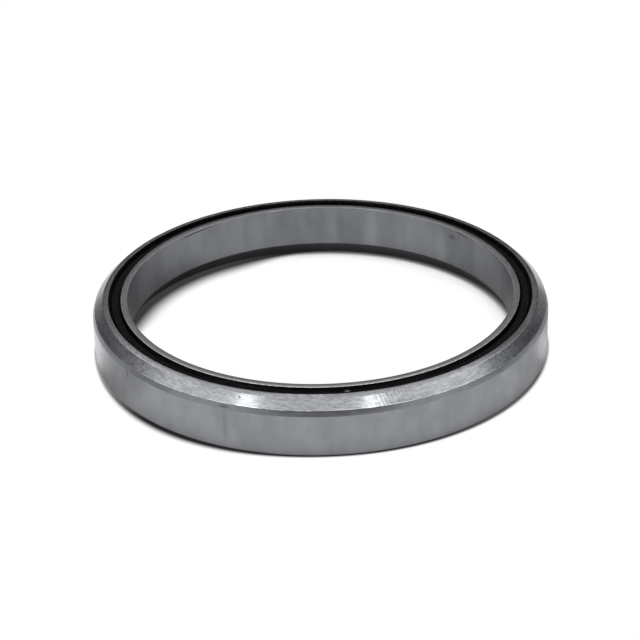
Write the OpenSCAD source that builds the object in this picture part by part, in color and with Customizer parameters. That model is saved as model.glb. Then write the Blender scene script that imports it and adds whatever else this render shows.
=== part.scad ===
// Sealed angular-contact headset bearing, lying flat with its outer contact chamfer up.
// The axis of rotation is Z, and both rings stand on z = 0. Sections are drawn as (radius, z).

/* [Rings] */
// Diameter of the bore
bore_d = 44; // [30:0.5:60]
// Radial width of the bearing, from the bore to the outer wall
section_w = 4; // [3.8:0.1:4.6]
// Height of both rings
height = 6.5; // [6.3:0.1:8]
// Width of the thin rim that each ring has on its low side
rim_w = 0.76; // [0.66:0.01:0.78]
// How far each high shoulder reaches past the circle of the ball centres
shoulder_reach = 0.17; // [0.1:0.01:0.25]
// Bevel that breaks the rings' sharp edges
edge_break = 0.12; // [0.05:0.01:0.16]
// Bevel between the outer ring's wall and its bottom face
foot_break = 0.2; // [0.1:0.05:0.3]

/* [Contact chamfers] */
// Height of the outer ring's chamfer, which seats in the cup
outer_chamfer_h = 1.1; // [0.8:0.05:1.15]
// Angle of that chamfer from the axis
outer_chamfer_angle = 45; // [36:1:46]
// Height of the narrow tapered band between that chamfer and the outer wall
band_h = 0.62; // [0.3:0.01:0.8]
// Radial taper of that band
band_taper = 0.2; // [0.1:0.01:0.24]
// Height of the inner ring's chamfer, in which the compression ring seats
inner_chamfer_h = 1.62; // [1:0.02:1.7]
// Angle of that chamfer from the axis
inner_chamfer_angle = 36; // [30:1:38]

/* [Balls] */
// Diameter of a ball
ball_d = 2.381; // [2.2:0.001:2.46]
// Number of balls
ball_count = 48; // [24:1:50]
// Angle of the line through a ball's two contact points, from the level plane
contact_angle = 40; // [30:1:45]
// Radius of a race's groove as a share of the ball's diameter
race_share = 0.52; // [0.515:0.001:0.53]
// Running clearance between a ball and each race
race_play = 0.02; // [0.01:0.005:0.03]
// How far each low shoulder stands up in the ball's way, to hold the rings together
snap_over = 0.03; // [0.01:0.01:0.05]

/* [Ball retainer] */
// Clearance between the retainer and the rings
retainer_gap = 0.14; // [0.1:0.01:0.2]
// Clearance between a ball and its pocket
pocket_play = 0.08; // [0.04:0.01:0.1]
// Radial width of the webs between the balls
web_w = 1; // [0.8:0.05:1.2]
// How far the webs reach below the ball centres
web_reach = 0.65; // [0.4:0.05:0.9]
// Height of the retainer ring's underside over the ball centres, as a share of a ball's radius
ring_over_balls = 0.8; // [0.7:0.05:0.85]
// Clearance between the retainer and the upper seal
retainer_seal_gap = 0.35; // [0.25:0.05:0.45]

/* [Seals] */
// Depth of a seal's face below the rings' end faces
seal_recess = 0.4; // [0.3:0.05:0.45]
// Thickness of a seal from its face to its underside
seal_h = 0.6; // [0.5:0.05:0.65]
// Thickness of its lip and of the bead that snaps into the outer ring
lip_h = 0.3; // [0.2:0.05:0.4]
// Width of the open slot beside the inner ring
lip_slot = 0.24; // [0.16:0.02:0.36]
// Width of the open slot beside the outer ring
bead_slot = 0.38; // [0.2:0.02:0.44]
// Clearance between the lip and the inner ring
lip_play = 0.05; // [0.03:0.01:0.08]
// Depth of the groove that holds the bead
groove_depth = 0.2; // [0.1:0.02:0.26]
// Clearance of the bead in its groove
bead_play = 0.02; // [0.01:0.01:0.04]

/* [Hidden] */
$fn = 96;

bore_r = bore_d / 2;
outer_r = bore_r + section_w;
mid_z = height / 2;

// Balls on their pitch circle, halfway between the bore and the outer wall
pitch_r = bore_r + section_w / 2;
ball_r = ball_d / 2;
ball_step = 360 / ball_count;

// Rings: each has a high and a low shoulder beside its groove, and a land under a seal's edge
outer_high_r = pitch_r + shoulder_reach;
inner_high_r = pitch_r - shoulder_reach;
outer_low_r = pitch_r + ball_r - snap_over;
inner_low_r = pitch_r - ball_r + snap_over;
outer_land_r = outer_r - rim_w;
inner_land_r = bore_r + rim_w;

// Race grooves: their centres are set back from the ball's centre along the line of contact
race_r = race_share * ball_d;
race_offset = (race_r - ball_r - race_play) * [cos(contact_angle), sin(contact_angle)];
ball_centre = [pitch_r, mid_z];

// Contact chamfers
outer_chamfer_z = height - outer_chamfer_h;
outer_chamfer_r = outer_r - band_taper;
top_face_r = outer_chamfer_r - outer_chamfer_h * tan(outer_chamfer_angle);
bottom_face_r = bore_r + inner_chamfer_h * tan(inner_chamfer_angle);

// Upper seal: heights of its face, the top of its lip and its underside
seal_top_z = height - seal_recess;
seal_floor_z = seal_top_z - seal_h;
lip_top_z = seal_floor_z + lip_h;
groove_floor_z = seal_floor_z - bead_play;
groove_top_z = lip_top_z + bead_play;
land_under_seal = 0.2;
land_end_z = seal_floor_z - land_under_seal;
rib_bevel = 0.05;
rib_lean = 0.12;

// Retainer: a ring above the balls, whose webs reach down between them
retainer_top_z = seal_floor_z - retainer_seal_gap;
retainer_ring_z = mid_z + ring_over_balls * ball_r;
pocket_r = ball_r + pocket_play;

function ball_name(i) = str("ball_", i < 10 ? "0" : "", i);

// Turned-over copy of an upper section, for the lower seal and its groove
module turned_over() {
    translate([0, height]) mirror([0, 1]) children();
}

// Annular groove in the outer ring that holds a seal's bead; wall_r is the wall that it is cut in
module bead_groove(wall_r) {
    translate([wall_r - groove_depth, groove_floor_z])
        square([2 * groove_depth, groove_top_z - groove_floor_z]);
}

module outer_section() {
    difference() {
        polygon([
            [outer_land_r + edge_break, 0],
            [outer_r - foot_break, 0],
            [outer_r, foot_break],
            [outer_r, outer_chamfer_z - band_h],
            [outer_chamfer_r, outer_chamfer_z],
            [top_face_r, height],
            [outer_high_r + edge_break, height],
            [outer_high_r, height - edge_break],
            [outer_high_r, mid_z],
            [outer_low_r, mid_z],
            [outer_low_r, height - land_end_z],
            [outer_land_r, height - land_end_z],
            [outer_land_r, edge_break]
        ]);
        translate(ball_centre - race_offset) circle(r = race_r);
        bead_groove(outer_high_r);
        turned_over() bead_groove(outer_land_r);
    }
}

module inner_section() {
    difference() {
        polygon([
            [bottom_face_r, 0],
            [inner_high_r - edge_break, 0],
            [inner_high_r, edge_break],
            [inner_high_r, mid_z],
            [inner_low_r, mid_z],
            [inner_low_r, land_end_z],
            [inner_land_r, land_end_z],
            [inner_land_r, height - edge_break],
            [inner_land_r - edge_break, height],
            [bore_r + edge_break, height],
            [bore_r, height - edge_break],
            [bore_r, inner_chamfer_h]
        ]);
        translate(ball_centre + race_offset) circle(r = race_r);
    }
}

// Seal: a raised rib with a thin lip at ring_r and a bead that snaps in behind wall_r
module seal_section(ring_r, wall_r) {
    rib_in = ring_r + lip_slot;
    rib_out = wall_r - bead_slot;
    polygon([
        [ring_r + lip_play, seal_floor_z],
        [wall_r + groove_depth - bead_play, seal_floor_z],
        [wall_r + groove_depth - bead_play, lip_top_z],
        [rib_out + rib_lean, lip_top_z],
        [rib_out, seal_top_z - rib_bevel],
        [rib_out - rib_bevel, seal_top_z],
        [rib_in + rib_bevel, seal_top_z],
        [rib_in, seal_top_z - rib_bevel],
        [rib_in, lip_top_z],
        [ring_r + lip_play, lip_top_z]
    ]);
}

// Retainer: a flat ring, and under it the wall that the ball pockets part into webs
module retainer_section() {
    ring_in = inner_low_r + retainer_gap;
    ring_out = outer_high_r - retainer_gap;
    web_in = pitch_r - web_w / 2;
    web_out = pitch_r + web_w / 2;
    web_foot_z = mid_z - web_reach;
    polygon([
        [web_in, web_foot_z],
        [web_out, web_foot_z],
        [web_out, retainer_ring_z],
        [ring_out, retainer_ring_z],
        [ring_out, retainer_top_z],
        [ring_in, retainer_top_z],
        [ring_in, retainer_ring_z],
        [web_in, retainer_ring_z]
    ]);
}

// Child number i of ball_count, set on the pitch circle
module at_ball(i) {
    rotate([0, 0, i * ball_step]) translate([pitch_r, 0, mid_z]) children();
}

module outer_ring() {
    color("silver") rotate_extrude() outer_section();
}

module inner_ring() {
    color("gainsboro") rotate_extrude() inner_section();
}

module upper_seal() {
    color([0.13, 0.13, 0.14]) rotate_extrude() seal_section(inner_land_r, outer_high_r);
}

module lower_seal() {
    color([0.13, 0.13, 0.14])
        rotate_extrude() turned_over() seal_section(inner_high_r, outer_land_r);
}

module ball_retainer() {
    color("tan") difference() {
        rotate_extrude() retainer_section();
        for (i = [1:ball_count]) at_ball(i) sphere(r = pocket_r);
    }
}

module ball(i) {
    color("lightsteelblue") at_ball(i) sphere(r = ball_r);
}

outer_ring();
inner_ring();
upper_seal();
lower_seal();
ball_retainer();
for (i = [1:ball_count]) ball(i);
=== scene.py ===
"""A sealed headset bearing on a white ground, with finely turned rings and seals for the CAD ones."""
import math

import bmesh
import bpy
from mathutils import Matrix, Vector


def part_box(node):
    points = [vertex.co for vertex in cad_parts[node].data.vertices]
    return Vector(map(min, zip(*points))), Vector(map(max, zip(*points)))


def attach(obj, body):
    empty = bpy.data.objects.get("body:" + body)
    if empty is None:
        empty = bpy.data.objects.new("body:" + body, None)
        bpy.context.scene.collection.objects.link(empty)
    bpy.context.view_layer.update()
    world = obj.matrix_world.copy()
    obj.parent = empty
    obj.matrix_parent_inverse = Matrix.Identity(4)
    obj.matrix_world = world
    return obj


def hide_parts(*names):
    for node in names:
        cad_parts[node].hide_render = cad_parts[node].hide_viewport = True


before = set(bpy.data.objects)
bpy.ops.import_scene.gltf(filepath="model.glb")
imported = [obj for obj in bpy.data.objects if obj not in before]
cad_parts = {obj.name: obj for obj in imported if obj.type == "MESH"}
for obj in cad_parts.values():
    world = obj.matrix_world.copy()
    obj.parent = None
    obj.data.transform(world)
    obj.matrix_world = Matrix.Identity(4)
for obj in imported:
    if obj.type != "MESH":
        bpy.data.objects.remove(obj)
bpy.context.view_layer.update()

# Sizes in millimetres; the overall ones come from the frame
MM = 0.001
MICRON = 1e-6
OUTER_R = round(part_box("outer_ring")[1].x / MM, 2)
HEIGHT = round(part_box("outer_ring")[1].z / MM, 2)
SECTION_W = 4.0
BORE_R = OUTER_R - SECTION_W
PITCH_R = BORE_R + SECTION_W / 2
MID_Z = HEIGHT / 2

# Rings: thin rim, high shoulder, bevels, outer chamfer, tapered band and inner chamfer
RIM_W = 0.76
SHOULDER_REACH = 0.17
EDGE_BREAK = 0.12
FOOT_BREAK = 0.2
OUTER_CHAMFER_H = 1.1
BAND_H = 0.62
BAND_TAPER = 0.2
INNER_CHAMFER_H = 1.62
INNER_CHAMFER_ANGLE = math.radians(36)

# Balls and race grooves; each low shoulder stands SNAP_OVER in the balls' way
BALL_D = 2.381
BALL_R = BALL_D / 2
CONTACT_ANGLE = math.radians(40)
RACE_R = 0.52 * BALL_D
RACE_PLAY = 0.02
SNAP_OVER = 0.03

# Seals: rib, thin lip, the open slots beside it, and the bead and its groove
SEAL_RECESS = 0.4
SEAL_H = 0.6
LIP_H = 0.3
LIP_SLOT = 0.24
BEAD_SLOT = 0.38
LIP_PLAY = 0.05
GROOVE_DEPTH = 0.2
BEAD_PLAY = 0.02
RIB_LEAN = 0.12
LAND_UNDER_SEAL = 0.2

# Circles and levels that follow from these
OUTER_HIGH_R = PITCH_R + SHOULDER_REACH
INNER_HIGH_R = PITCH_R - SHOULDER_REACH
OUTER_LOW_R = PITCH_R + BALL_R - SNAP_OVER
INNER_LOW_R = PITCH_R - BALL_R + SNAP_OVER
OUTER_LAND_R = OUTER_R - RIM_W
INNER_LAND_R = BORE_R + RIM_W
CHAMFER_Z = HEIGHT - OUTER_CHAMFER_H
BAND_Z = CHAMFER_Z - BAND_H
CHAMFER_R = OUTER_R - BAND_TAPER
TOP_FACE_R = CHAMFER_R - OUTER_CHAMFER_H
BOTTOM_FACE_R = BORE_R + INNER_CHAMFER_H * math.tan(INNER_CHAMFER_ANGLE)
SEAL_TOP_Z = HEIGHT - SEAL_RECESS
SEAL_FLOOR_Z = SEAL_TOP_Z - SEAL_H
LIP_TOP_Z = SEAL_FLOOR_Z + LIP_H
LAND_END_Z = SEAL_FLOOR_Z - LAND_UNDER_SEAL

# Turned meshes: steps round the axis, points on a race, facets on a rounded corner, and how close two
# points are merged, in millimetres
RING_STEPS = 384
RACE_POINTS = 14
CORNER_FACETS = 4
MERGE_DISTANCE = 1e-5

# Corner roundings
KEEN = 0.02
SOFT = 0.05
LAND_EDGE = 0.02
LAND_CROWN = 0.09
FACE_EDGE = 0.045
BORE_EDGE = 0.03
SEAT_EDGE = 0.1
# Slopes at which one finish ends and the next begins: 0 faces outwards, 90 up, 180 inwards, -90 down
LAND_SLOPE = 67
LAND_RIM_SLOPE = 20
BAND_SLOPE = 60
WALL_SLOPE = 80
FACE_SLOPE = 10
BORE_SLOPE = 160
SEAT_SLOPE = -100
# Top land: how far it falls to its outer edge, and how far out that edge lies from the chamfer's top
LAND_FALL = 0.08
LAND_REACH = 0.09

# White sheet under the ring: half its width, its reach towards the camera and away from it, its height
SHEET = (50.0, 150.0, 600.0)
SHEET_Z = -0.01

# Dark line round the outer foot: where it starts to lighten and where it ends, in millimetres outwards
FOOT_SHADE = (0.05, 0.52)
# Sides on which that line is wider: (angle, spread in degrees, shift of its start, shift of its end)
FOOT_SHADE_SIDES = [(230.0, 42.0, 0.31, 0.93), (320.0, 48.0, 0.20, 0.34)]
# Its darkest brightness, and sides on which it is lighter: (angle, spread, extra brightness)
FOOT_DARK = 0.02
FOOT_DARK_SIDES = [(190.0, 34.0, 0.34), (330.0, 48.0, 0.09), (354.0, 18.0, 0.3)]

# Shade inside the ring on its left: (angle, full within, none beyond, width in millimetres, brightness),
# and the circle at which it starts to lighten
INSIDE_SHADE = (141.0, 20.0, 58.0, 2.9, 0.045)
INSIDE_SHADE_R = BORE_R + 0.6

# Brightness of the sheet by how open it lies within a reach in millimetres: as the camera sees it, and
# as the ring mirrors it
OPENNESS_REACH = 30.0
SEEN_SHEET = {0.0: 0.015, 0.2: 0.032, 0.29: 0.13, 0.335: 0.29, 0.39: 0.52, 0.43: 0.79, 0.452: 0.96,
              0.468: 1.0}
MIRRORED_SHEET = {0.0: 0.09, 0.2: 0.13, 0.3: 0.18, 0.4: 0.26, 0.5: 0.44, 0.6: 0.7, 0.7: 0.88, 0.85: 1.0}
# Lighter and darker zones of the mirrored sheet: (x, y, full within, none beyond, change)
MIRRORED_ZONES = [
    (-27.0, 0.0, 4.0, 9.0, 0.45), (27.5, 0.0, 3.0, 6.0, 0.06), (-28.0, -10.5, 3.0, 8.5, -0.28),
    (28.5, -7.0, 3.0, 8.0, -0.18), (-16.5, 12.0, 3.0, 11.0, -0.38), (16.5, 12.0, 3.0, 9.0, -0.23),
    (-1.0, 14.0, 1.0, 5.0, -0.12), (0.0, 90.0, 30.0, 48.0, -0.5), (26.2, -3.5, 1.5, 4.0, 0.35),
    (29.0, 3.0, 2.0, 5.0, -0.25), (-26.2, -2.0, 1.5, 4.0, 0.3), (-30.0, -3.0, 2.0, 5.0, -0.3),
    (38.0, 10.0, 6.0, 13.0, -0.4), (-46.0, 8.0, 6.0, 13.0, -0.4)]
# How bright a mirror image of the sheet is inside the ring, outside it, and at least in the inside shade
MIRRORED_INSIDE = 0.7
MIRRORED_OUTSIDE = 0.88
MIRRORED_SHADE = 0.75
# Colour of the sheet where it only lights the ring
SHEET_WHITE = (0.8, 0.8, 0.8, 1.0)

# Steel, rubber and plastic colours
STEEL = (0.315, 0.322, 0.340)
WALL_STEEL = (0.312, 0.319, 0.337)
LAND_STEEL = (0.28, 0.286, 0.301)
# Darker steel for the inner contact chamfer: painted shade, for the shadowed ground it faces
SHADED_SEAT_STEEL = (0.15, 0.153, 0.163)
GREASED_STEEL = (0.1, 0.1, 0.105)
# Painted highlights and reflections on the steel
HIGHLIGHT_STEEL = (0.42, 0.43, 0.445)
# Dark marks, and painted shade on the steel
DARK_MARK_AND_SHADE_STEEL = (0.10, 0.102, 0.11)
# Rubbed edges, painted bright as glints
RUBBED_GLINT_STEEL = (0.62, 0.63, 0.65)
BALL_STEEL = (0.52, 0.53, 0.55)
BRIGHT_BALL_STEEL = (0.60, 0.61, 0.63)
RUBBER = (0.0022, 0.0023, 0.0026)
DUST = (0.34, 0.34, 0.34)
NYLON = (0.40, 0.32, 0.20)
PALE_NYLON = (0.52, 0.44, 0.30)

# Steel finish: shares of tool lines, patches and clouds in its colour, and of chatter where there is any,
# and the noise values between which the colour changes
LINE_SHARE = 0.4
PATCH_SHARE = 0.3
CLOUD_SHARE = 0.3
CHATTER_SHARE = 0.65
COLOUR_SPAN = (0.38, 0.62)
# How far tool lines, clouds, dark marks and painted shade change its roughness
ROUGH_LINES = 0.25
ROUGH_CLOUDS = 0.12
ROUGH_MARKS = 0.15
# Shares of tool lines and patches in its relief, and how far dark marks and painted shade lie below it
RELIEF_LINES = 0.45
RELIEF_PATCHES = 0.55
MARK_DEPTH = 0.5

# Local marks, painted shade and painted highlights: a soft oval is full within the first share of its
# length and width, and ends at the second
SPOT_SPAN = (0.15, 0.6)


class NodeWork:
    """Short calls for building one node tree."""

    def __init__(self, tree):
        self.tree = tree

    def feed(self, socket, value):
        """Links a socket to a source, or sets it to a plain value."""
        if isinstance(value, bpy.types.NodeSocket):
            self.tree.links.new(value, socket)
        else:
            socket.default_value = value

    def node(self, kind, inputs=None, **settings):
        made = self.tree.nodes.new(kind)
        for key, value in settings.items():
            setattr(made, key, value)
        for key, value in (inputs or {}).items():
            self.feed(made.inputs[key], value)
        return made

    def math(self, operation, *values, clamp=False):
        made = self.tree.nodes.new("ShaderNodeMath")
        made.operation = operation
        made.use_clamp = clamp
        for socket, value in zip(made.inputs, values):
            self.feed(socket, value)
        return made.outputs[0]

    def vector(self, operation, *values):
        made = self.tree.nodes.new("ShaderNodeVectorMath")
        made.operation = operation
        for socket, value in zip(made.inputs, values):
            self.feed(socket, value)
        return made.outputs["Value" if operation in ("DOT_PRODUCT", "LENGTH") else "Vector"]

    def step(self, value, low, high, start=0.0, end=1.0):
        """A smooth step from start to end as value goes from low to high."""
        made = self.node("ShaderNodeMapRange", interpolation_type="SMOOTHSTEP")
        parts = {"Value": value, "From Min": low, "From Max": high, "To Min": start, "To Max": end}
        for key, part in parts.items():
            self.feed(made.inputs[key], part)
        return made.outputs["Result"]

    def hypot(self, first, second):
        """The square root of the sum of two squares."""
        squares = [self.math("MULTIPLY", part, part) for part in (first, second)]
        return self.math("SQRT", self.math("ADD", *squares))

    def blend(self, factor, first, second):
        """A colour between two others."""
        made = self.tree.nodes.new("ShaderNodeMix")
        made.data_type = "RGBA"
        for key, part in (("Factor_Float", factor), ("A_Color", first), ("B_Color", second)):
            socket = next(s for s in made.inputs if s.identifier == key)
            if isinstance(part, tuple):
                part = (*part, 1.0)
            self.feed(socket, part)
        return next(s for s in made.outputs if s.identifier == "Result_Color")

    def ramp(self, factor, stops):
        """A colour ramp with grey stops, given as {position: brightness}."""
        made = self.node("ShaderNodeValToRGB", {"Fac": factor})
        elements = made.color_ramp.elements
        while len(elements) < len(stops):
            elements.new(0.5)
        for element, (position, brightness) in zip(elements, sorted(stops.items())):
            element.position = position
            element.color = (brightness, brightness, brightness, 1.0)
        return made.outputs["Color"]

    def place(self, group, **inputs):
        """A placed node group, with its inputs fed by name."""
        made = self.tree.nodes.new("ShaderNodeGroup")
        made.node_tree = group
        for key, value in inputs.items():
            self.feed(made.inputs[key], value)
        return made

    def ring_noise(self, around, across, seed):
        """Noise on the ring, with so many cells in one turn and in each millimetre across."""
        return self.place(ROLLED_NOISE, Around=around, Across=across, Seed=seed).outputs["Value"]


def new_group(name, inputs, outputs):
    """A node group with named float inputs and their defaults, and named outputs and their kinds."""
    group = bpy.data.node_groups.new(name, "ShaderNodeTree")
    for label, default in inputs.items():
        socket = group.interface.new_socket(label, in_out="INPUT", socket_type="NodeSocketFloat")
        socket.default_value = default
    for label, kind in outputs.items():
        group.interface.new_socket(label, in_out="OUTPUT", socket_type=kind)
    work = NodeWork(group)
    return group, work, work.node("NodeGroupInput").outputs, work.node("NodeGroupOutput").inputs


def make_ring_place():
    """Where a point lies on the ring: its angle in degrees, its radius and height in millimetres.
    Rolled holds the direction from the axis, with height less radius as its third part."""
    outputs = {"Angle": "NodeSocketFloat", "Radius": "NodeSocketFloat", "Height": "NodeSocketFloat",
               "Rolled": "NodeSocketVector"}
    group, work, _, ends = new_group("ring_place", {}, outputs)
    point = work.vector("SCALE", work.node("ShaderNodeTexCoord").outputs["Object"])
    point.node.inputs["Scale"].default_value = 1 / MM
    split = work.node("ShaderNodeSeparateXYZ", {"Vector": point}).outputs
    flat = work.node("ShaderNodeCombineXYZ", {"X": split["X"], "Y": split["Y"]}).outputs["Vector"]
    radius = work.vector("LENGTH", flat)
    turn = work.math("DEGREES", work.math("ARCTAN2", split["Y"], split["X"]))
    rolled = work.node("ShaderNodeCombineXYZ", {
        "X": work.math("DIVIDE", split["X"], radius),
        "Y": work.math("DIVIDE", split["Y"], radius),
        "Z": work.math("SUBTRACT", split["Z"], radius),
    })
    for label, source in (("Angle", turn), ("Radius", radius), ("Height", split["Z"]),
                          ("Rolled", rolled.outputs["Vector"])):
        work.feed(ends[label], source)
    return group


def make_rolled_noise(ring_place):
    """Seamless noise on a ring: Around cells in one turn, and Across cells in each millimetre across."""
    group, work, given, ends = new_group(
        "rolled_noise", {"Around": 100.0, "Across": 2.0, "Seed": 0.0}, {"Value": "NodeSocketFloat"})
    rolled = work.place(ring_place).outputs["Rolled"]
    rolled = work.node("ShaderNodeSeparateXYZ", {"Vector": rolled}).outputs
    reach = work.math("DIVIDE", given["Around"], 2 * math.pi)
    shift = work.math("MULTIPLY", given["Seed"], 37.0)
    point = work.node("ShaderNodeCombineXYZ", {
        "X": work.math("MULTIPLY", rolled["X"], reach),
        "Y": work.math("MULTIPLY", rolled["Y"], reach),
        "Z": work.math("MULTIPLY_ADD", rolled["Z"], given["Across"], shift),
    })
    noise = work.node("ShaderNodeTexNoise", {
        "Vector": point.outputs["Vector"], "Scale": 1.0, "Detail": 2.0, "Roughness": 0.55})
    work.feed(ends["Value"], noise.outputs["Fac"])
    return group


def make_spot(ring_place):
    """One local mark, also used for painted shade and painted highlights: a soft oval at an angle, radius
    and height, Length long round the ring and Width wide across it, in millimetres, and turned by Tilt
    degrees. Strength is its mask's largest value."""
    inputs = {"Angle": 0.0, "Radius": 26.0, "Height": 3.0, "Length": 1.0, "Width": 0.2, "Tilt": 0.0,
              "Strength": 1.0}
    group, work, given, ends = new_group("spot", inputs, {"Mask": "NodeSocketFloat"})
    here = work.place(ring_place).outputs
    turn = work.math("WRAP", work.math("SUBTRACT", here["Angle"], given["Angle"]), 180.0, -180.0)
    along = work.math("MULTIPLY", work.math("RADIANS", turn), here["Radius"])
    rise = work.math("SUBTRACT", here["Height"], given["Height"])
    across = work.math("SUBTRACT", rise, work.math("SUBTRACT", here["Radius"], given["Radius"]))
    lean = work.math("RADIANS", given["Tilt"])
    cosine, sine = work.math("COSINE", lean), work.math("SINE", lean)
    run = work.math("MULTIPLY_ADD", along, cosine, work.math("MULTIPLY", across, sine))
    leaning = work.math("MULTIPLY", along, sine)
    side = work.math("SUBTRACT", work.math("MULTIPLY", across, cosine), leaning)
    run = work.math("DIVIDE", run, given["Length"])
    side = work.math("DIVIDE", side, given["Width"])
    work.feed(ends["Mask"], work.step(work.hypot(run, side), *SPOT_SPAN, given["Strength"], 0.0))
    return group


def make_cross_marks(ring_place):
    """Fine lines that cross the turning: one Every so many degrees, over Spread degrees and Reach
    millimetres of height on either side of the middle, and leaning by Skew degrees to the millimetre."""
    inputs = {"Angle": 287.0, "Height": 6.0, "Spread": 6.0, "Reach": 1.5, "Every": 1.2, "Skew": 0.5,
              "Strength": 0.5}
    group, work, given, ends = new_group("cross_marks", inputs, {"Mask": "NodeSocketFloat"})
    here = work.place(ring_place).outputs
    turn = work.math("WRAP", work.math("SUBTRACT", here["Angle"], given["Angle"]), 180.0, -180.0)
    rise = work.math("SUBTRACT", here["Height"], given["Height"])
    wobble = work.ring_noise(500.0, 1.0, seed=21.0)
    leaning = work.math("MULTIPLY_ADD", rise, given["Skew"], turn)
    phase = work.math("DIVIDE", work.math("MULTIPLY_ADD", wobble, 1.6, leaning), given["Every"])
    wave = work.math("SINE", work.math("MULTIPLY", phase, 2 * math.pi))
    lines = work.step(wave, -0.1, 0.8)
    turned_by = work.math("DIVIDE", work.math("ABSOLUTE", turn), given["Spread"])
    near = work.step(turned_by, 0.4, 1.0, 1.0, 0.0)
    raised_by = work.math("DIVIDE", work.math("ABSOLUTE", rise), given["Reach"])
    level = work.step(raised_by, 0.4, 1.0, 1.0, 0.0)
    broken = work.ring_noise(700.0, 1.2, seed=22.0)
    mask = work.math("MULTIPLY", work.math("MULTIPLY", near, level), lines)
    mask = work.math("MULTIPLY", mask, work.step(broken, 0.3, 0.6, 0.25, 1.0))
    work.feed(ends["Mask"], work.math("MULTIPLY", mask, given["Strength"]))
    return group


def make_worn_glint_edge(ring_place):
    """A rubbed line along one circular edge, painted bright as a glint and broken up by noise."""
    group, work, given, ends = new_group(
        "worn_glint_edge", {"Radius": 24.7, "Height": 6.5, "Width": 0.1, "Around": 200.0, "Seed": 0.0},
        {"Mask": "NodeSocketFloat"})
    here = work.place(ring_place).outputs
    out = work.math("SUBTRACT", here["Radius"], given["Radius"])
    rise = work.math("SUBTRACT", here["Height"], given["Height"])
    near = work.step(work.math("DIVIDE", work.hypot(out, rise), given["Width"]), 0.35, 1.0, 1.0, 0.0)
    broken = work.ring_noise(given["Around"], 0.8, seed=given["Seed"])
    work.feed(ends["Mask"], work.math("MULTIPLY", near, work.step(broken, 0.32, 0.62)))
    return group


def make_dust(ring_place):
    """Sparse specks: Cells is how many lie on a millimetre, and Share how many of those are filled."""
    group, work, given, ends = new_group(
        "dust", {"Cells": 2.0, "Share": 0.1, "Size": 0.2}, {"Mask": "NodeSocketFloat"})
    point = work.vector("SCALE", work.node("ShaderNodeTexCoord").outputs["Object"])
    work.feed(point.node.inputs["Scale"], work.math("DIVIDE", given["Cells"], MM))
    cells = work.node("ShaderNodeTexVoronoi", {"Vector": point, "Scale": 1.0}, feature="F1")
    chance = work.node("ShaderNodeSeparateColor", {"Color": cells.outputs["Color"]}).outputs["Red"]
    filled = work.math("LESS_THAN", chance, given["Share"])
    distance = work.math("DIVIDE", cells.outputs["Distance"], given["Size"])
    speck = work.step(distance, 0.5, 1.0, 1.0, 0.0)
    work.feed(ends["Mask"], work.math("MULTIPLY", filled, speck))
    return group


RING_PLACE = make_ring_place()
ROLLED_NOISE = make_rolled_noise(RING_PLACE)
SPOT = make_spot(RING_PLACE)
CROSS_MARKS = make_cross_marks(RING_PLACE)
WORN_GLINT_EDGE = make_worn_glint_edge(RING_PLACE)
DUST_SPECKS = make_dust(RING_PLACE)


def new_material(name):
    """A material with its Principled shader, and a helper for its nodes."""
    material = bpy.data.materials.new(name)
    material.use_nodes = True
    shader = material.node_tree.nodes["Principled BSDF"]
    return material, NodeWork(material.node_tree), shader


def add_relief(work, shader, height, depth):
    """Bump from a height between 0 and 1, depth microns deep."""
    bump = work.node("ShaderNodeBump", {"Strength": 1.0, "Distance": depth * MICRON, "Height": height})
    work.feed(shader.inputs["Normal"], bump.outputs["Normal"])


def largest(work, masks):
    """The largest of several masks, or zero."""
    total = 0.0
    for mask in masks:
        total = mask if total == 0.0 else work.math("MAXIMUM", total, mask)
    return total


def spots(work, rows):
    """Spot masks from rows of (angle, radius, height, length, width, tilt, strength)."""
    keys = ("Angle", "Radius", "Height", "Length", "Width", "Tilt", "Strength")
    return [work.place(SPOT, **dict(zip(keys, row))).outputs["Mask"] for row in rows]


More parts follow.
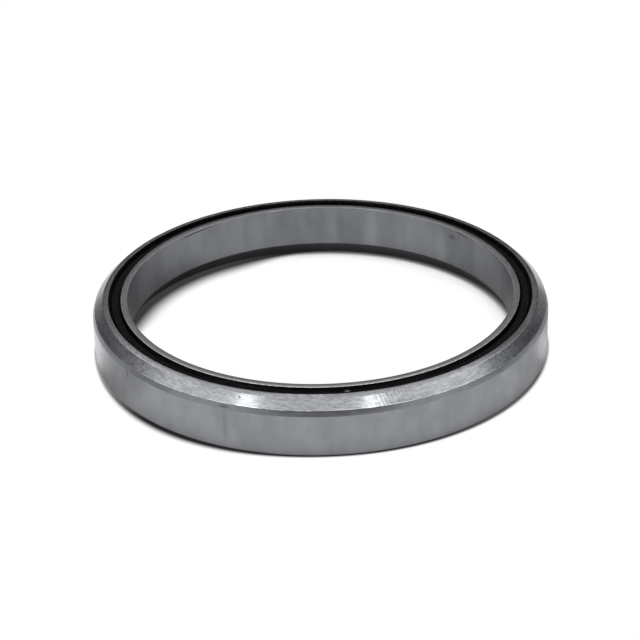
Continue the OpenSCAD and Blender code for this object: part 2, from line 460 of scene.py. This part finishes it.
def steel(name, roughness, turned, grain, mottle, depth, tone=STEEL, spread=0.12, chatter=None,
          hatch=(), dark=(), bright=(), edges=()):
    """Ground or turned bearing steel.
    grain and mottle are (cells round, cells across each mm) of the tool lines and of the cloudy patches,
    and chatter those of broad bands that run across the turning. depth is the relief in microns, and
    spread how far the colour changes. hatch, dark, bright and edges are rows of cross marks, of dark
    spots (marks, and painted shade), of bright spots (painted highlights and reflections) and of rubbed
    edges painted bright as glints."""
    material, work, shader = new_material(name)
    lines = work.ring_noise(*grain, seed=1.0)
    patches = work.ring_noise(*mottle, seed=2.0)
    clouds = work.ring_noise(mottle[0] / 9, mottle[1] / 3, seed=3.0)

    mixed = work.math("MULTIPLY_ADD", patches, PATCH_SHARE, work.math("MULTIPLY", clouds, CLOUD_SHARE))
    mixed = work.math("MULTIPLY_ADD", lines, LINE_SHARE, mixed)
    if chatter:
        bands = work.ring_noise(*chatter, seed=4.0)
        fine = work.math("MULTIPLY", mixed, 1 - CHATTER_SHARE)
        mixed = work.math("MULTIPLY_ADD", bands, CHATTER_SHARE, fine)
    darker = tuple(part * (1 - spread) for part in tone)
    lighter = tuple(part * (1 + spread) for part in tone)
    colour = work.blend(work.step(mixed, *COLOUR_SPAN), darker, lighter)

    keys = ("Angle", "Height", "Spread", "Reach", "Every", "Skew", "Strength")
    crossing = [work.place(CROSS_MARKS, **dict(zip(keys, row))).outputs["Mask"] for row in hatch]
    # Dark spots: marks, with painted shade among them
    dark_marks_and_shade = largest(work, crossing + spots(work, dark))
    # Bright spots: painted highlights and reflections
    painted_highlights = largest(work, spots(work, bright))
    keys = ("Radius", "Height", "Width", "Around", "Seed")
    # Rubbed edges, painted bright as glints
    rubbed = [work.place(WORN_GLINT_EDGE, **dict(zip(keys, row))).outputs["Mask"] for row in edges]
    colour = work.blend(dark_marks_and_shade, colour, DARK_MARK_AND_SHADE_STEEL)
    colour = work.blend(painted_highlights, colour, HIGHLIGHT_STEEL)
    colour = work.blend(largest(work, rubbed), colour, RUBBED_GLINT_STEEL)
    work.feed(shader.inputs["Base Color"], colour)

    rough = work.math("MULTIPLY_ADD", work.math("SUBTRACT", lines, 0.5), ROUGH_LINES, roughness)
    rough = work.math("MULTIPLY_ADD", work.math("SUBTRACT", clouds, 0.5), ROUGH_CLOUDS, rough)
    rough = work.math("MULTIPLY_ADD", dark_marks_and_shade, ROUGH_MARKS, rough, clamp=True)
    work.feed(shader.inputs["Roughness"], rough)

    relief = work.math("MULTIPLY", patches, RELIEF_PATCHES)
    relief = work.math("MULTIPLY_ADD", lines, RELIEF_LINES, relief)
    relief = work.math("MULTIPLY_ADD", dark_marks_and_shade, -MARK_DEPTH, relief)
    add_relief(work, shader, relief, depth)

    shader.inputs["Metallic"].default_value = 1.0
    shader.inputs["Anisotropic"].default_value = turned
    shader.inputs["Anisotropic Rotation"].default_value = 0.25
    tangent = work.node("ShaderNodeTangent", direction_type="RADIAL", axis="Z")
    work.feed(shader.inputs["Tangent"], tangent.outputs["Tangent"])
    return material


def rubber(name, specks=()):
    """Moulded black rubber with a faint bloom and a little dust."""
    material, work, shader = new_material(name)
    cloud = work.ring_noise(180.0, 1.4, seed=5.0)
    pores = work.ring_noise(1400.0, 9.0, seed=6.0)
    bloom = tuple(part * 1.7 for part in RUBBER)
    colour = work.blend(work.step(cloud, 0.35, 0.7), RUBBER, bloom)
    fine = work.place(DUST_SPECKS, Cells=3.0, Share=0.05, Size=0.16).outputs["Mask"]
    dusty = largest(work, [work.math("MULTIPLY", fine, 0.35)] + spots(work, specks))
    work.feed(shader.inputs["Base Color"], work.blend(dusty, colour, DUST))
    rough = work.math("MULTIPLY_ADD", pores, 0.2, 0.5)
    work.feed(shader.inputs["Roughness"], work.math("MULTIPLY_ADD", dusty, 0.2, rough, clamp=True))
    add_relief(work, shader, work.math("MULTIPLY_ADD", pores, 0.4, dusty), depth=8)
    shader.inputs["Specular IOR Level"].default_value = 0.055
    return material


def retainer_plastic():
    """Natural nylon, slightly cloudy, with a fine moulded surface."""
    material, work, shader = new_material("moulded_nylon")
    cloud = work.ring_noise(90.0, 1.0, seed=7.0)
    skin = work.ring_noise(1600.0, 10.0, seed=8.0)
    work.feed(shader.inputs["Base Color"], work.blend(cloud, NYLON, PALE_NYLON))
    work.feed(shader.inputs["Roughness"], work.math("MULTIPLY_ADD", skin, 0.15, 0.4))
    add_relief(work, shader, skin, depth=4)
    shader.inputs["Subsurface Weight"].default_value = 0.1
    shader.inputs["Subsurface Scale"].default_value = 0.5 * MM
    return material


def ball_polish():
    """Lapped and polished ball steel, with a faint haze and a thin film of grease."""
    material, work, shader = new_material("lapped_ball_steel")
    haze = work.ring_noise(500.0, 3.0, seed=9.0)
    work.feed(shader.inputs["Base Color"], work.blend(haze, BALL_STEEL, BRIGHT_BALL_STEEL))
    work.feed(shader.inputs["Roughness"], work.math("MULTIPLY_ADD", haze, 0.08, 0.05))
    add_relief(work, shader, haze, depth=0.2)
    shader.inputs["Metallic"].default_value = 1.0
    return material


def race_arc(side, first_r, last_r):
    """Points along a race's groove, from the circle of first_r to that of last_r. side is 1 for the
    outer ring, whose groove is centred inside and below the balls, and -1 for the inner ring."""
    set_back = RACE_R - BALL_R - RACE_PLAY
    centre_r = PITCH_R - side * set_back * math.cos(CONTACT_ANGLE)
    centre_z = MID_Z - side * set_back * math.sin(CONTACT_ANGLE)
    first = math.acos((first_r - centre_r) * side / RACE_R)
    last = -math.acos((last_r - centre_r) * side / RACE_R)
    points = []
    for index in range(RACE_POINTS + 1):
        turn = first + (last - first) * index / RACE_POINTS
        out, rise = side * RACE_R * math.cos(turn), side * RACE_R * math.sin(turn)
        points.append((centre_r + out, centre_z + rise, 0.0))
    return points


def bead_groove(wall_r, flipped=False):
    """Corners of the groove that holds a seal's bead, from its top to its floor."""
    heights = (LIP_TOP_Z + BEAD_PLAY, SEAL_FLOOR_Z - BEAD_PLAY)
    if flipped:
        heights = tuple(HEIGHT - z for z in reversed(heights))
    top, floor = heights
    return [(wall_r, top, 0.0), (wall_r + GROOVE_DEPTH, top, 0.0),
            (wall_r + GROOVE_DEPTH, floor, 0.0), (wall_r, floor, 0.0)]


def outer_section():
    """Outline of the outer ring's section, as corners of (radius, height, rounding)."""
    return [
        (OUTER_LAND_R, 0.0, EDGE_BREAK),
        (OUTER_R - FOOT_BREAK, 0.0, SOFT),
        (OUTER_R, FOOT_BREAK, SOFT),
        (OUTER_R, BAND_Z, KEEN),
        (CHAMFER_R, CHAMFER_Z, KEEN),
        (TOP_FACE_R + LAND_REACH, HEIGHT - LAND_FALL, LAND_CROWN),
        (OUTER_HIGH_R, HEIGHT, LAND_EDGE),
        *bead_groove(OUTER_HIGH_R),
        *race_arc(1, OUTER_HIGH_R, OUTER_LOW_R),
        (OUTER_LOW_R, HEIGHT - LAND_END_Z, 0.0),
        (OUTER_LAND_R, HEIGHT - LAND_END_Z, 0.0),
        *bead_groove(OUTER_LAND_R, flipped=True),
    ]


def inner_section():
    """Outline of the inner ring's section."""
    return [
        (BOTTOM_FACE_R, 0.0, SOFT),
        (INNER_HIGH_R, 0.0, EDGE_BREAK),
        *race_arc(-1, INNER_HIGH_R, INNER_LOW_R),
        (INNER_LOW_R, LAND_END_Z, 0.0),
        (INNER_LAND_R, LAND_END_Z, 0.0),
        (INNER_LAND_R, HEIGHT, FACE_EDGE),
        (BORE_R, HEIGHT, BORE_EDGE),
        (BORE_R, INNER_CHAMFER_H, SEAT_EDGE),
    ]


def seal_section(ring_r, wall_r, flipped=False):
    """Outline of a seal: a raised rib, with a thin lip at ring_r and a bead held behind wall_r."""
    bead_r = wall_r + GROOVE_DEPTH - BEAD_PLAY
    rib_in, rib_out = ring_r + LIP_SLOT, wall_r - BEAD_SLOT
    corners = [
        (ring_r + LIP_PLAY, SEAL_FLOOR_Z, SOFT),
        (bead_r, SEAL_FLOOR_Z, SOFT),
        (bead_r, LIP_TOP_Z, SOFT),
        (rib_out + RIB_LEAN, LIP_TOP_Z, SOFT),
        (rib_out, SEAL_TOP_Z, SOFT),
        (rib_in, SEAL_TOP_Z, SOFT),
        (rib_in, LIP_TOP_Z, SOFT),
        (ring_r + LIP_PLAY, LIP_TOP_Z, SOFT),
    ]
    if flipped:
        corners = [(r, HEIGHT - z, rounding) for r, z, rounding in corners]
    return corners


def turned_piece(name, node, body, section, materials, zone):
    """A section spun about the axis, in place of a CAD node. zone gives the material's number for a face
    at a radius and height, in millimetres, and a slope in degrees from level outwards to straight up."""
    shape = bmesh.new()
    corners = [shape.verts.new((r * MM, 0.0, z * MM)) for r, z, _ in section]
    shape.faces.new(corners)
    for rounding in sorted({row[2] for row in section if row[2] > 0}):
        chosen = [corner for corner, row in zip(corners, section) if row[2] == rounding]
        bmesh.ops.bevel(shape, geom=chosen, offset=rounding * MM, offset_type="OFFSET",
                        segments=CORNER_FACETS, profile=0.5, affect="VERTICES", material=-1,
                        clamp_overlap=True)
    bmesh.ops.delete(shape, geom=shape.faces[:], context="FACES_ONLY")
    bmesh.ops.spin(shape, geom=shape.verts[:] + shape.edges[:], cent=(0, 0, 0), axis=(0, 0, 1),
                   angle=2 * math.pi, steps=RING_STEPS, use_merge=True)
    bmesh.ops.remove_doubles(shape, verts=shape.verts[:], dist=MERGE_DISTANCE * MM)
    bmesh.ops.recalc_face_normals(shape, faces=shape.faces[:])
    for face in shape.faces:
        middle = face.calc_center_median()
        radius = math.hypot(middle.x, middle.y)
        outward = (face.normal.x * middle.x + face.normal.y * middle.y) / radius
        slope = math.degrees(math.atan2(face.normal.z, outward))
        face.material_index = zone(radius / MM, middle.z / MM, slope)
        face.smooth = True
    mesh = bpy.data.meshes.new(name)
    shape.to_mesh(mesh)
    shape.free()
    for material in materials:
        mesh.materials.append(material)
    piece = bpy.data.objects.new(name, mesh)
    bpy.context.scene.collection.objects.link(piece)
    even = piece.modifiers.new("even_normals", "WEIGHTED_NORMAL")
    even.mode = "FACE_AREA"
    even.weight = 100
    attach(piece, body)
    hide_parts(node)
    return piece


def outer_zone(radius, height, slope):
    """Chamfer 0, tapered band 1, outer wall 2, top land 3, and 4 for sides that face inwards or down."""
    if radius < TOP_FACE_R - LAND_CROWN:
        return 3 if slope > LAND_RIM_SLOPE and height > CHAMFER_Z else 4
    if slope > LAND_SLOPE:
        return 3
    if height > CHAMFER_Z:
        return 0
    if height > BAND_Z:
        return 1 if abs(slope) < BAND_SLOPE and radius > CHAMFER_R - KEEN else 4
    return 2 if abs(slope) < WALL_SLOPE and radius > OUTER_R - 2 * FOOT_BREAK else 4


def inner_zone(radius, height, slope):
    """Top face 0, bore 1, contact chamfer 2, and 3 for the sides that face the balls or the ground."""
    if height > HEIGHT - EDGE_BREAK - KEEN and slope > FACE_SLOPE:
        return 0
    if abs(slope) > BORE_SLOPE and radius < BORE_R + KEEN:
        return 1
    if height < INNER_CHAMFER_H and slope < SEAT_SLOPE:
        return 2
    return 3


def seal_zone(radius, height, slope):
    """One finish all over."""
    return 0


# Marks in the finishes, with painted shade, highlights, reflections and glints among them. Cross marks:
# (angle, height, spread, reach, every, skew, strength)
CHAMFER_HATCH = [(287.4, 5.95, 7.0, 1.8, 0.95, 0.9, 0.4)]
WALL_HATCH = [(284.0, 3.9, 3.6, 1.7, 0.8, 0.5, 0.17), (219.0, 4.2, 6.0, 1.6, 1.1, 0.2, 0.2)]
# Dark spots, some of them painted shade, and bright spots, which are painted highlights and reflections:
# (angle, radius, height, length, width, tilt, strength)
CHAMFER_DARK = [(249.7, 25.14, 6.06, 0.34, 0.7, 20.0, 0.5), (265.0, 24.80, 6.40, 0.30, 0.16, 0.0, 0.6)]
# Painted glints at the chamfer's top and bottom edges
CHAMFER_GLINTS = [(261.8, 24.74, 6.46, 0.6, 0.3, 0.0, 1.0), (238.0, 25.78, 5.44, 0.5, 0.3, 0.0, 1.0)]
BAND_DARK = [(246.5, 25.9, 5.1, 1.6, 0.6, 0.0, 0.6)]
WALL_DARK = [(246.6, OUTER_R, 2.6, 4.6, 0.7, 90.0, 0.2), (215.7, OUTER_R, 4.5, 1.5, 0.34, 90.0, 0.7)]
# A painted reflection on the front of the outer wall
WALL_REFLECTION = [(263.5, OUTER_R, 3.6, 3.4, 2.6, 90.0, 0.18)]
# One small dark mark on the land, and two long stretches of painted shade at its back and on its right
LAND_MARK_AND_SHADE = [(177.0, 24.72, 6.45, 0.6, 0.3, 0.0, 0.9), (80.0, 24.48, 6.46, 50.0, 3.0, 0.0, 0.7),
             (326.0, 24.48, 6.46, 13.0, 3.0, 0.0, 0.65)]
# Painted highlights along the front of the land
LAND_HIGHLIGHTS = [(261.7, 24.27, HEIGHT, 0.8, 0.7, 0.0, 1.0), (264.8, 24.27, HEIGHT, 0.9, 0.6, 0.0, 1.0),
               (267.8, 24.27, HEIGHT, 0.8, 0.6, 0.0, 1.0), (269.6, 24.27, HEIGHT, 0.8, 0.7, 0.0, 1.0)]
# Painted highlights along the bore's top edge at the back
FACE_EDGE_HIGHLIGHTS = [(71.0, BORE_R, 6.47, 3.0, 0.14, 0.0, 1.0), (103.5, BORE_R, 6.47, 2.4, 0.14, 0.0, 1.0),
               (93.5, BORE_R, 6.47, 0.6, 0.2, 0.0, 1.0), (90.4, BORE_R, 6.47, 0.5, 0.2, 0.0, 1.0)]
# Painted shade in a line under the bore's top edge on the right, a scratch near the top edge, and darker
# patches
BORE_MARKS_AND_SHADE = [(8.0, BORE_R, 6.3, 9.0, 0.25, 0.0, 0.55), (132.7, BORE_R, 6.22, 5.8, 0.3, -1.3, 0.9),
             (42.9, BORE_R, 5.42, 1.2, 0.8, 0.0, 0.45), (38.6, BORE_R, 6.3, 2.6, 0.26, 4.0, 0.7),
             (83.0, BORE_R, 4.0, 7.0, 1.2, 90.0, 0.16)]
# Painted reflections down the bore, and painted highlights along lines near its top edge
BORE_REFLECTIONS_AND_HIGHLIGHTS = [(72.5, BORE_R, 4.2, 6.5, 1.5, 90.0, 0.6), (110.5, BORE_R, 3.8, 6.0, 2.4, 90.0, 0.35),
               (132.4, BORE_R, 6.1, 5.2, 0.18, -1.3, 0.8), (27.6, BORE_R, 6.1, 4.6, 0.26, 8.0, 1.0),
               (48.0, BORE_R, 4.0, 5.5, 2.0, 90.0, 0.45)]
SEAL_SPECK = [(276.6, 22.95, 6.1, 0.8, 0.55, 25.0, 1.0)]
# Rubbed edges, painted bright as glints: (radius, height, width, cells round, seed)
CHAMFER_GLINT_EDGE = [(CHAMFER_R, CHAMFER_Z, 0.1, 210.0, 2.0)]
FACE_GLINT_RIM = [(INNER_LAND_R - 0.03, HEIGHT, 0.06, 300.0, 4.0)]


def build_rings():
    """Both rings, with a finish for each ground or turned zone."""
    chamfer = steel(
        "ground_contact_chamfer", roughness=0.2, turned=0.3, grain=(310.0, 6.0), mottle=(170.0, 2.6),
        depth=9.0, spread=0.26, hatch=CHAMFER_HATCH, dark=CHAMFER_DARK, bright=CHAMFER_GLINTS,
        edges=CHAMFER_GLINT_EDGE)
    band = steel(
        "turned_band", roughness=0.3, turned=0.6, grain=(90.0, 14.0), mottle=(150.0, 2.0), depth=3.0,
        spread=0.14, dark=BAND_DARK)
    wall = steel(
        "ground_outer_wall", roughness=0.27, turned=0.45, grain=(200.0, 7.0), mottle=(110.0, 1.2),
        depth=1.2, spread=0.08, tone=WALL_STEEL, chatter=(64.0, 0.2), hatch=WALL_HATCH, dark=WALL_DARK,
        bright=WALL_REFLECTION)
    land = steel(
        "turned_top_land", roughness=0.2, turned=0.85, grain=(310.0, 6.0), mottle=(170.0, 2.6),
        depth=5.0, spread=0.26, tone=LAND_STEEL, dark=LAND_MARK_AND_SHADE, bright=LAND_HIGHLIGHTS)
    inside = steel(
        "turned_inside", roughness=0.4, turned=0.6, grain=(60.0, 12.0), mottle=(120.0, 2.0), depth=3.0)
    turned_piece("outer_race_ring", "outer_ring", "outer_body", outer_section(),
                 [chamfer, band, wall, land, inside], outer_zone)

    face = steel(
        "lapped_top_face", roughness=0.22, turned=0.35, grain=(120.0, 12.0), mottle=(160.0, 3.0),
        depth=1.2, spread=0.1, bright=FACE_EDGE_HIGHLIGHTS, edges=FACE_GLINT_RIM)
    bore = steel(
        "ground_bore", roughness=0.36, turned=0.55, grain=(240.0, 4.5), mottle=(100.0, 0.9), depth=1.4,
        chatter=(44.0, 0.1), dark=BORE_MARKS_AND_SHADE, bright=BORE_REFLECTIONS_AND_HIGHLIGHTS)
    # The contact chamfer's darker tone is painted shade
    shaded_seat = steel(
        "ground_ring_seat_shaded", roughness=0.3, turned=0.4, grain=(200.0, 9.0), mottle=(160.0, 1.5),
        depth=2.0, tone=SHADED_SEAT_STEEL)
    race = steel(
        "greased_ground_race", roughness=0.25, turned=0.5, grain=(60.0, 16.0), mottle=(120.0, 2.0),
        depth=0.6, tone=GREASED_STEEL)
    turned_piece("inner_race_ring", "inner_ring", "inner_body", inner_section(),
                 [face, bore, shaded_seat, race], inner_zone)


def build_seals():
    """The two rubber seals: the same section, turned over for the lower one."""
    upper = rubber("upper_seal_rubber", specks=SEAL_SPECK)
    turned_piece("upper_rubber_seal", "upper_seal", "outer_body",
                 seal_section(INNER_LAND_R, OUTER_HIGH_R), [upper], seal_zone)
    lower = rubber("lower_seal_rubber")
    turned_piece("lower_rubber_seal", "lower_seal", "outer_body",
                 seal_section(INNER_HIGH_R, OUTER_LAND_R, flipped=True), [lower], seal_zone)


def finish_inner_nodes():
    """Materials for the retainer and the balls, whose CAD shapes stay."""
    nylon, polish = retainer_plastic(), ball_polish()
    for name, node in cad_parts.items():
        if name == "ball_retainer" or name.startswith("ball_"):
            node.data.materials.clear()
            node.data.materials.append(nylon if name == "ball_retainer" else polish)


def angle_from(work, here, angle):
    """How many degrees a point of the ring lies from an angle."""
    turn = work.math("SUBTRACT", here["Angle"], angle)
    return work.math("ABSOLUTE", work.math("WRAP", turn, 180.0, -180.0))


def foot_shade(work, here):
    """How far the ground outside the ring's foot shows, dark in a thin line that widens to both sides,
    and its darkest brightness."""
    start, end = FOOT_SHADE
    for angle, spread, late_start, late_end in FOOT_SHADE_SIDES:
        share = work.step(angle_from(work, here, angle), 0.0, spread, 1.0, 0.0)
        start = work.math("MULTIPLY_ADD", share, late_start, start)
        end = work.math("MULTIPLY_ADD", share, late_end, end)
    dark = FOOT_DARK
    for angle, spread, extra in FOOT_DARK_SIDES:
        share = work.step(angle_from(work, here, angle), 0.0, spread, extra, 0.0)
        dark = work.math("ADD", share, dark)
    out = work.math("SUBTRACT", here["Radius"], OUTER_R - FOOT_BREAK)
    shade = work.math("MAXIMUM", work.step(out, start, end), dark)
    return work.math("MAXIMUM", shade, work.math("LESS_THAN", out, 0.0)), dark


def inside_shade(work, here):
    """How far the ground inside the ring shows, with a wide soft shade on the left, and its darkest
    brightness."""
    angle, near, far, width, brightness = INSIDE_SHADE
    share = work.step(angle_from(work, here, angle), near, far, 1.0, 0.0)
    reach = work.math("MULTIPLY_ADD", share, width, 0.001)
    start = work.math("MULTIPLY", share, BOTTOM_FACE_R - INSIDE_SHADE_R)
    inwards = work.math("SUBTRACT", BOTTOM_FACE_R, here["Radius"])
    shade = work.step(inwards, start, work.math("ADD", start, reach))
    outside = work.math("GREATER_THAN", here["Radius"], OUTER_R - FOOT_BREAK)
    dark = work.math("MULTIPLY", share, work.math("SUBTRACT", 1.0, outside))
    return work.math("MAXIMUM", shade, outside), work.math("MULTIPLY", dark, brightness)


def build_floor():
    """A white sheet: plainly white to the camera, with soft shading where the ring covers it."""
    mesh = bpy.data.meshes.new("ground")
    shape = bmesh.new()
    bmesh.ops.create_grid(shape, x_segments=1, y_segments=1, size=0.5)
    half_width, near, far = SHEET
    for corner in shape.verts:
        side = math.copysign(half_width, corner.co.x)
        corner.co = Vector((side, far if corner.co.y > 0 else -near, SHEET_Z)) * MM
    shape.to_mesh(mesh)
    shape.free()
    floor = bpy.data.objects.new("ground", mesh)
    bpy.context.scene.collection.objects.link(floor)

    material, work, shader = new_material("white_ground")
    mesh.materials.append(material)
    work.tree.nodes.remove(shader)
    rays = work.node("ShaderNodeLightPath").outputs
    openness = work.node("ShaderNodeAmbientOcclusion", {"Distance": OPENNESS_REACH * MM}, samples=16)
    openness = openness.outputs["AO"]
    here = work.place(RING_PLACE).outputs
    outside, outside_dark = foot_shade(work, here)
    inside, inside_dark = inside_shade(work, here)
    beyond = work.math("GREATER_THAN", here["Radius"], OUTER_R - FOOT_BREAK)
    darkest = work.math("MAXIMUM", inside_dark, work.math("MULTIPLY", outside_dark, beyond))
    seen = work.math("MULTIPLY", work.ramp(openness, SEEN_SHEET), outside)
    seen = work.math("MAXIMUM", work.math("MINIMUM", seen, inside), darkest)

    shaded = work.math("MAXIMUM", inside, MIRRORED_SHADE)
    mirrored = work.math("MULTIPLY", work.ramp(openness, MIRRORED_SHEET), shaded)
    gain = work.step(here["Radius"], BORE_R, OUTER_R, MIRRORED_INSIDE, MIRRORED_OUTSIDE)
    point = work.node("ShaderNodeTexCoord").outputs["Object"]
    for x, y, near, far, change in MIRRORED_ZONES:
        away = work.vector("SUBTRACT", point, (x * MM, y * MM, 0.0))
        share = work.step(work.vector("LENGTH", away), near * MM, far * MM, change, 0.0)
        gain = work.math("ADD", share, gain)
    mirrored = work.math("MULTIPLY", mirrored, gain)

    shown = work.blend(rays["Is Camera Ray"], mirrored, seen)
    glow = work.node("ShaderNodeEmission", {"Color": shown, "Strength": 1.0})
    plain = work.node("ShaderNodeBsdfDiffuse", {"Color": SHEET_WHITE})
    direct = work.math("ADD", work.math("ADD", rays["Is Camera Ray"], rays["Is Glossy Ray"]),
                       rays["Is Transmission Ray"], clamp=True)
    mix = work.node("ShaderNodeMixShader", {"Fac": direct})
    work.feed(mix.inputs[1], plain.outputs["BSDF"])
    work.feed(mix.inputs[2], glow.outputs["Emission"])
    work.feed(work.tree.nodes["Material Output"].inputs["Surface"], mix.outputs["Shader"])


# Studio brightness by elevation in degrees, all round: a dim low room under a bright ceiling
ROOM_PEAK = 1.5
ROOM = {0: 0.34, 5: 0.22, 10: 0.16, 16: 0.16, 21: 0.2, 26: 0.29, 31: 0.44, 36: 0.76, 40: 1.25,
        44: 1.44, 52: 1.35, 90: 1.15}
# Brighter patches of its walls: (elevation, azimuth, full within, none beyond, extra brightness)
BRIGHT_WALLS = [(46.0, 95.0, 8.0, 15.0, 0.5), (41.0, 84.0, 3.0, 9.0, 0.5), (42.0, -87.0, 4.0, 12.0, 0.2)]
# How much higher the room stands on the right, and how much brighter it is low down behind the camera
ROOM_LEAN = 0.04
FRONT_GLOW = 0.42
# Dark patch round the camera: (elevation, azimuth, darkest within, none beyond, share of light it takes)
CAMERA_SHADE = (16.0, 180.0, 8.0, 45.0, 0.85)
WHITE = (1.0, 1.0, 1.0, 1.0)

# Two round soft lamps: distance and size in metres, and power
LAMP_DISTANCE = 0.5
LAMP_SIZE = 0.07
LAMP_POWER = 0.049

# The photograph's view in millimetres and degrees: the camera's distance from the middle of the top
# face, its shift to the side, its elevation, how far it looks down and how far it is rolled; then the
# width of its sensor and the length of its lens
CAMERA_DISTANCE = 236.9
CAMERA_SHIFT = -0.09
CAMERA_ELEVATION = 27.03
CAMERA_TILT = 27.9
CAMERA_ROLL = -1.38
SENSOR_WIDTH = 36.0
LENS = 116.55


def aimed_at(elevation, azimuth):
    """A direction in space; azimuth is in degrees from straight behind the object, to the right."""
    rise, turn = math.radians(elevation), math.radians(azimuth)
    return Vector((math.cos(rise) * math.sin(turn), math.cos(rise) * math.cos(turn), math.sin(rise)))


def round_patch(work, direction, elevation, azimuth, near, far, value):
    """A soft round patch of the room: value within near degrees of its middle, and zero beyond far."""
    closeness = work.vector("DOT_PRODUCT", direction, tuple(aimed_at(elevation, azimuth)))
    edges = [math.cos(math.radians(angle)) for angle in (far, near)]
    return work.step(closeness, *edges, 0.0, value)


def build_world():
    """A dim low room and a bright ceiling for light and reflections, and plain white to the camera."""
    world = bpy.data.worlds.new("studio")
    bpy.context.scene.world = world
    world.use_nodes = True
    work = NodeWork(world.node_tree)
    world.node_tree.nodes.clear()
    direction = work.node("ShaderNodeTexCoord").outputs["Generated"]
    split = work.node("ShaderNodeSeparateXYZ", {"Vector": direction}).outputs
    stops = {math.sin(math.radians(angle)): level / ROOM_PEAK for angle, level in ROOM.items()}
    lift = work.math("MULTIPLY_ADD", split["X"], -ROOM_LEAN, split["Z"])
    room = work.ramp(work.math("MAXIMUM", lift, 0.0), stops)
    level = work.math("MULTIPLY", room, ROOM_PEAK)
    towards_camera = work.math("MULTIPLY", split["Y"], -1.0)
    low = work.step(split["Z"], 0.2, 0.6, 1.0, 0.0)
    front_low = work.math("MULTIPLY", work.step(towards_camera, -0.1, 0.5), low)
    level = work.math("MULTIPLY_ADD", front_low, FRONT_GLOW, level)
    for patch in BRIGHT_WALLS:
        level = work.math("ADD", level, round_patch(work, direction, *patch))
    shade = round_patch(work, direction, *CAMERA_SHADE)
    level = work.math("MULTIPLY", level, work.math("SUBTRACT", 1.0, shade))
    studio = work.node("ShaderNodeBackground", {"Color": WHITE, "Strength": level})
    white = work.node("ShaderNodeBackground", {"Color": WHITE, "Strength": 1.0})
    rays = work.node("ShaderNodeLightPath").outputs
    mix = work.node("ShaderNodeMixShader", {"Fac": rays["Is Camera Ray"]})
    work.feed(mix.inputs[1], studio.outputs["Background"])
    work.feed(mix.inputs[2], white.outputs["Background"])
    output = work.node("ShaderNodeOutputWorld")
    work.feed(output.inputs["Surface"], mix.outputs["Shader"])


def add_lamp(name, elevation, azimuth):
    """A round soft lamp that shines on the object."""
    lamp = bpy.data.lights.new(name, "AREA")
    lamp.shape = "DISK"
    lamp.size = LAMP_SIZE
    lamp.energy = LAMP_POWER
    item = bpy.data.objects.new(name, lamp)
    bpy.context.scene.collection.objects.link(item)
    towards = aimed_at(elevation, azimuth)
    item.location = towards * LAMP_DISTANCE
    item.rotation_euler = towards.to_track_quat("Z", "Y").to_euler()


def add_camera():
    """The photograph's view: a long lens a little above the ring, tipped a little to the left."""
    camera = bpy.data.objects.new("camera", bpy.data.cameras.new("camera"))
    bpy.context.scene.collection.objects.link(camera)
    bpy.context.scene.camera = camera
    camera.data.sensor_width = SENSOR_WIDTH
    camera.data.lens = LENS
    camera.data.clip_start = 0.01
    camera.data.clip_end = 20.0
    elevation = math.radians(CAMERA_ELEVATION)
    back = -CAMERA_DISTANCE * math.cos(elevation)
    rise = HEIGHT + CAMERA_DISTANCE * math.sin(elevation)
    camera.location = Vector((CAMERA_SHIFT, back, rise)) * MM
    upright = Matrix.Rotation(math.pi / 2 - math.radians(CAMERA_TILT), 3, "X")
    turn = upright @ Matrix.Rotation(math.radians(CAMERA_ROLL), 3, "Z")
    camera.rotation_euler = turn.to_euler()


bpy.context.scene.view_settings.view_transform = "Standard"
add_camera()
build_world()
add_lamp("left_softbox", elevation=52, azimuth=-133)
add_lamp("right_softbox", elevation=55, azimuth=147)
build_floor()
build_rings()
build_seals()
finish_inner_nodes()
